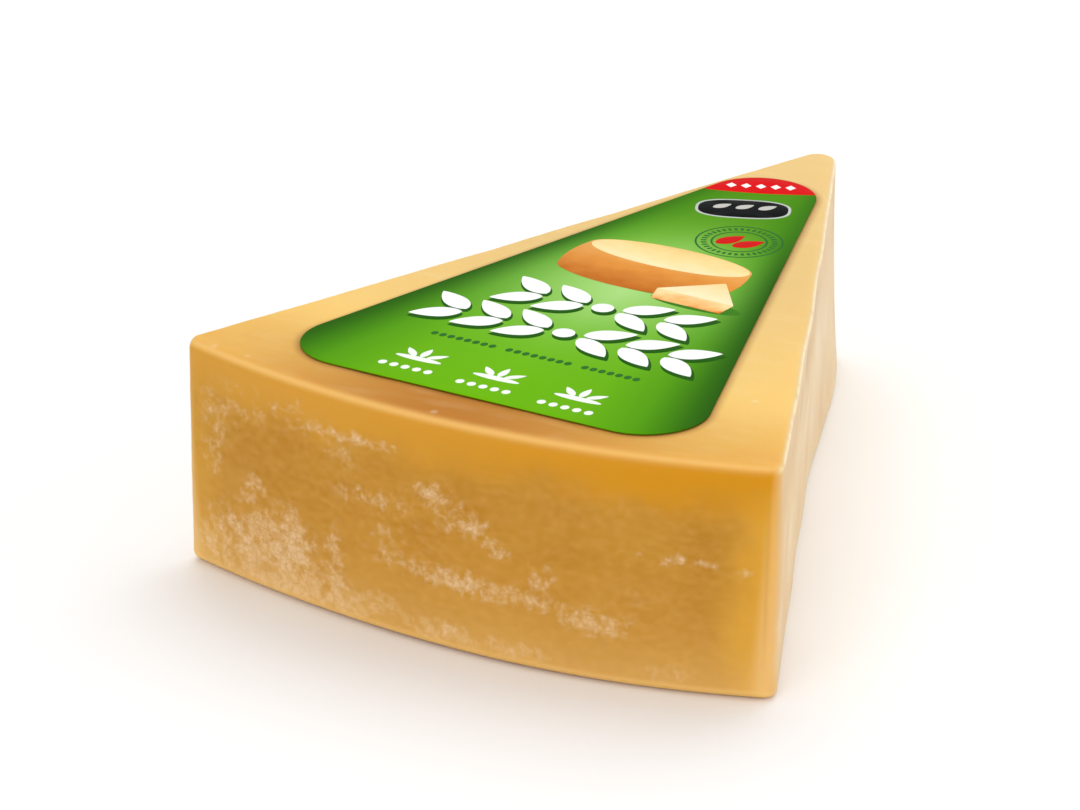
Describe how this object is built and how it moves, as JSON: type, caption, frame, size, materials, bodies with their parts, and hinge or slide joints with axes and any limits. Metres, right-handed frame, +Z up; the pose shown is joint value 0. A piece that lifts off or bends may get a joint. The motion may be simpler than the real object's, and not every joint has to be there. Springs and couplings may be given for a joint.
{
  "type": "hard cheese wedge",
  "caption": "Wedge of hard grana-style cheese with a golden rind and pale cut faces, wrapped in tight clear film, with a printed label on its top.",
  "frame": {"origin": "centre of the footprint's bounding box, on the surface that the wedge lies on", "axes": "+Z up, +Y towards the tip, the rind faces -Y"},
  "size_m": [0.0954, 0.1298, 0.036],
  "materials": {
    "cheese": "waxy golden rind and paler cut cheese under tight clear film",
    "label": "satin green print with white and red ornament"
  },
  "bodies": {
    "root": {"cheese_wedge": "cheese", "label": "label"}
  },
  "joints": []
}
